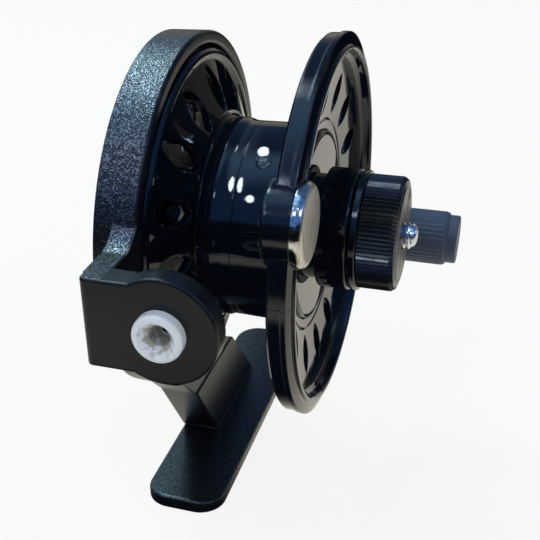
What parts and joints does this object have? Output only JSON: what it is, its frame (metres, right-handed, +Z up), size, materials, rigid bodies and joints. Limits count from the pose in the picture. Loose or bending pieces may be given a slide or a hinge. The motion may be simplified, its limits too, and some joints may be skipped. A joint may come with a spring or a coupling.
{
  "type": "ice fishing reel",
  "caption": "Small open-spool ice fishing reel: cup-shaped frame with foot and front line guide, holed spool with handle and counterweight, and a knurled screw drag knob.",
  "frame": {"origin": "middle of the foot's flat underside", "axes": "+X along the spindle, from the frame cup towards the drag knob; -Y towards the line guide; +Z up, from the foot to the spool"},
  "size_m": [0.0469, 0.0823, 0.0786],
  "materials": {
    "frame": "fine spark texture on the outsides, satin on the flat faces",
    "spool": "high gloss",
    "knob": "satin",
    "handle": "matte",
    "guide_ceramic": "satin",
    "steel": "turned",
    "polished_steel": "polished, with a faintly brushed face",
    "spring_steel": "bright",
    "brass": "turned",
    "acetal": "natural",
    "fibre": "natural"
  },
  "bodies": {
    "frame": {"frame": "frame", "line_guide": "guide_ceramic", "spindle": "steel", "spindle_washer": "steel", "spindle_nut": "steel", "pawl_pin": "steel", "click_spring": "spring_steel"},
    "spool": {"inner_bush": "brass", "outer_bush": "brass", "spool_inner_half": "spool", "spool_outer_half": "spool", "spool_screws": "steel", "counterweight_disc": "polished_steel", "handle_washer": "acetal", "handle_screw": "steel", "brake_washer": "fibre", "click_gear": "acetal"},
    "handle": {"handle_knob": "handle", "handle_cap": "handle"},
    "drag_plate": {"pressure_washer": "steel", "spring_washers": "spring_steel", "drag_plate": "spool"},
    "drag_knob": {"drag_knob": "knob", "knob_insert": "brass"},
    "click_pawl": {"click_pawl": "acetal"}
  },
  "joints": [
    {"name": "spool_spin", "type": "hinge", "parent": "frame", "child": "spool", "pos_m": [0.01865, -0.01075, 0.0483], "axis": [1, 0, 0], "continuous": true},
    {"name": "handle_spin", "type": "hinge", "parent": "spool", "child": "handle", "pos_m": [0.02865, 0.013, 0.03748], "axis": [1, 0, 0], "continuous": true},
    {"name": "drag_plate_slide", "type": "slide", "parent": "frame", "child": "drag_plate", "axis": [1, 0, 0], "range_m": [-0.00009, 0.0012]},
    {"name": "drag_knob_turn", "type": "hinge", "parent": "drag_plate", "child": "drag_knob", "pos_m": [0.02865, -0.01075, 0.0483], "axis": [1, 0, 0], "range_deg": [-40.5, 540.5]},
    {"name": "click_pawl_swing", "type": "hinge", "parent": "frame", "child": "click_pawl", "pos_m": [-0.00095, -0.01075, 0.0619], "axis": [1, 0, 0], "range_deg": [-8, 8], "stiffness_Nm_per_rad": 0.002}
  ],
  "couplings": [
    {"joint": "drag_knob_turn", "follows": "drag_plate_slide", "rad_per_m": 7854}
  ]
}
